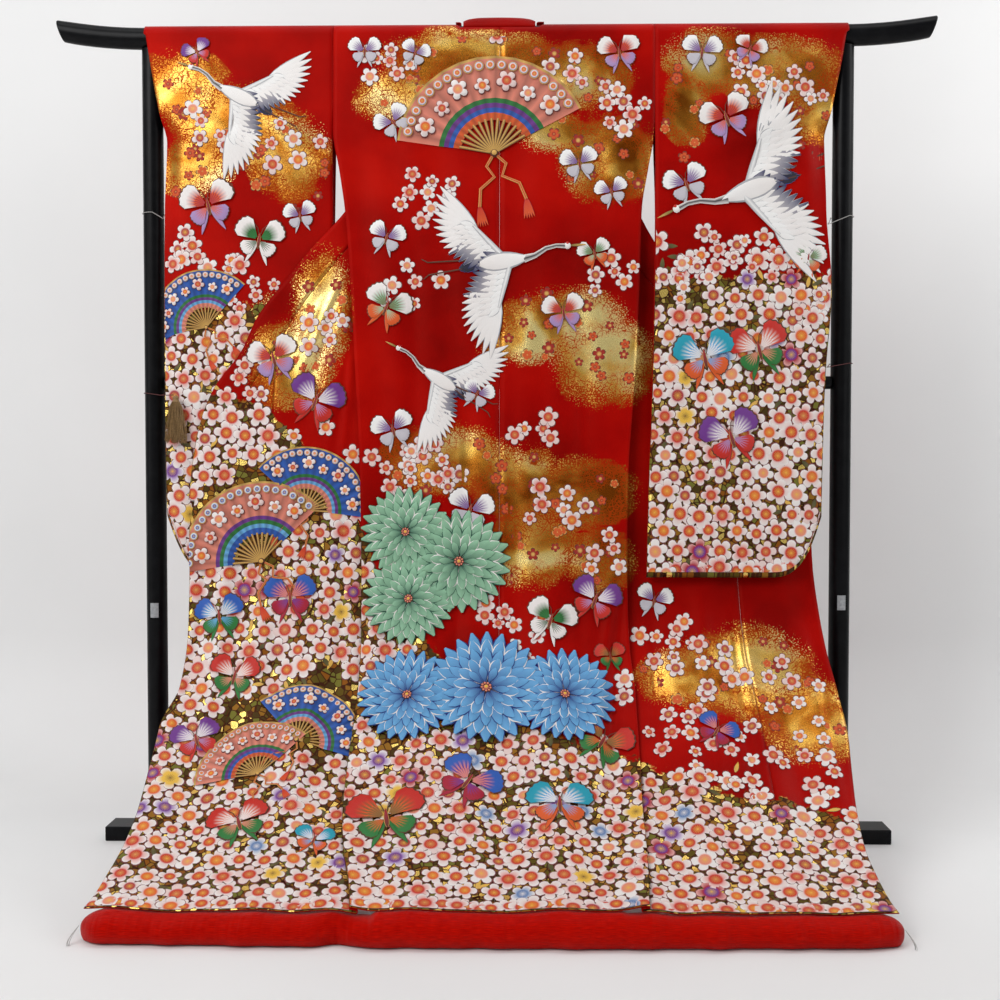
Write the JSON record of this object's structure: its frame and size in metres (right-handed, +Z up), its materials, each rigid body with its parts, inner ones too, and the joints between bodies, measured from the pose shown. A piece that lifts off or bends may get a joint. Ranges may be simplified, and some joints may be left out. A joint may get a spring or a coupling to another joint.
{
  "type": "uchikake wedding kimono on a kimono stand",
  "caption": "Long trailing wedding robe with swinging sleeves, turned-out fronts and a padded hem roll, hung back outwards over a two-post lacquered kimono stand.",
  "frame": {"origin": "middle of the base beam's underside on the floor", "axes": "+X along the stand's top bar, -Y towards the side that shows the back of the robe, +Z up"},
  "size_m": [1.674, 0.7665, 1.5748],
  "materials": {
    "silk": "satin",
    "hem_silk": "satin",
    "lacquer": "semi-gloss lacquer",
    "plate": "matt",
    "thread": "silk thread",
    "grey_string": "matt",
    "dark_string": "matt"
  },
  "bodies": {
    "root": {"back_left": "silk", "back_right": "silk", "base_beam": "lacquer", "collar_left": "silk", "collar_neck": "silk", "collar_right": "silk", "foot_left_front": "lacquer", "foot_left_rear": "lacquer", "foot_right_front": "lacquer", "foot_right_rear": "lacquer", "front_left": "silk", "front_right": "silk", "fuki": "hem_silk", "middle_rail": "lacquer", "okumi_left": "silk", "okumi_right": "silk", "post_left": "lacquer", "post_plate_left": "plate", "post_plate_right": "plate", "post_right": "lacquer", "sleeve_left": "silk", "sleeve_right": "silk", "tassel": "thread", "tie_dark_left": "dark_string", "tie_dark_right": "dark_string", "tie_grey_left": "grey_string", "tie_grey_right": "grey_string", "top_bar": "lacquer"}
  },
  "joints": []
}
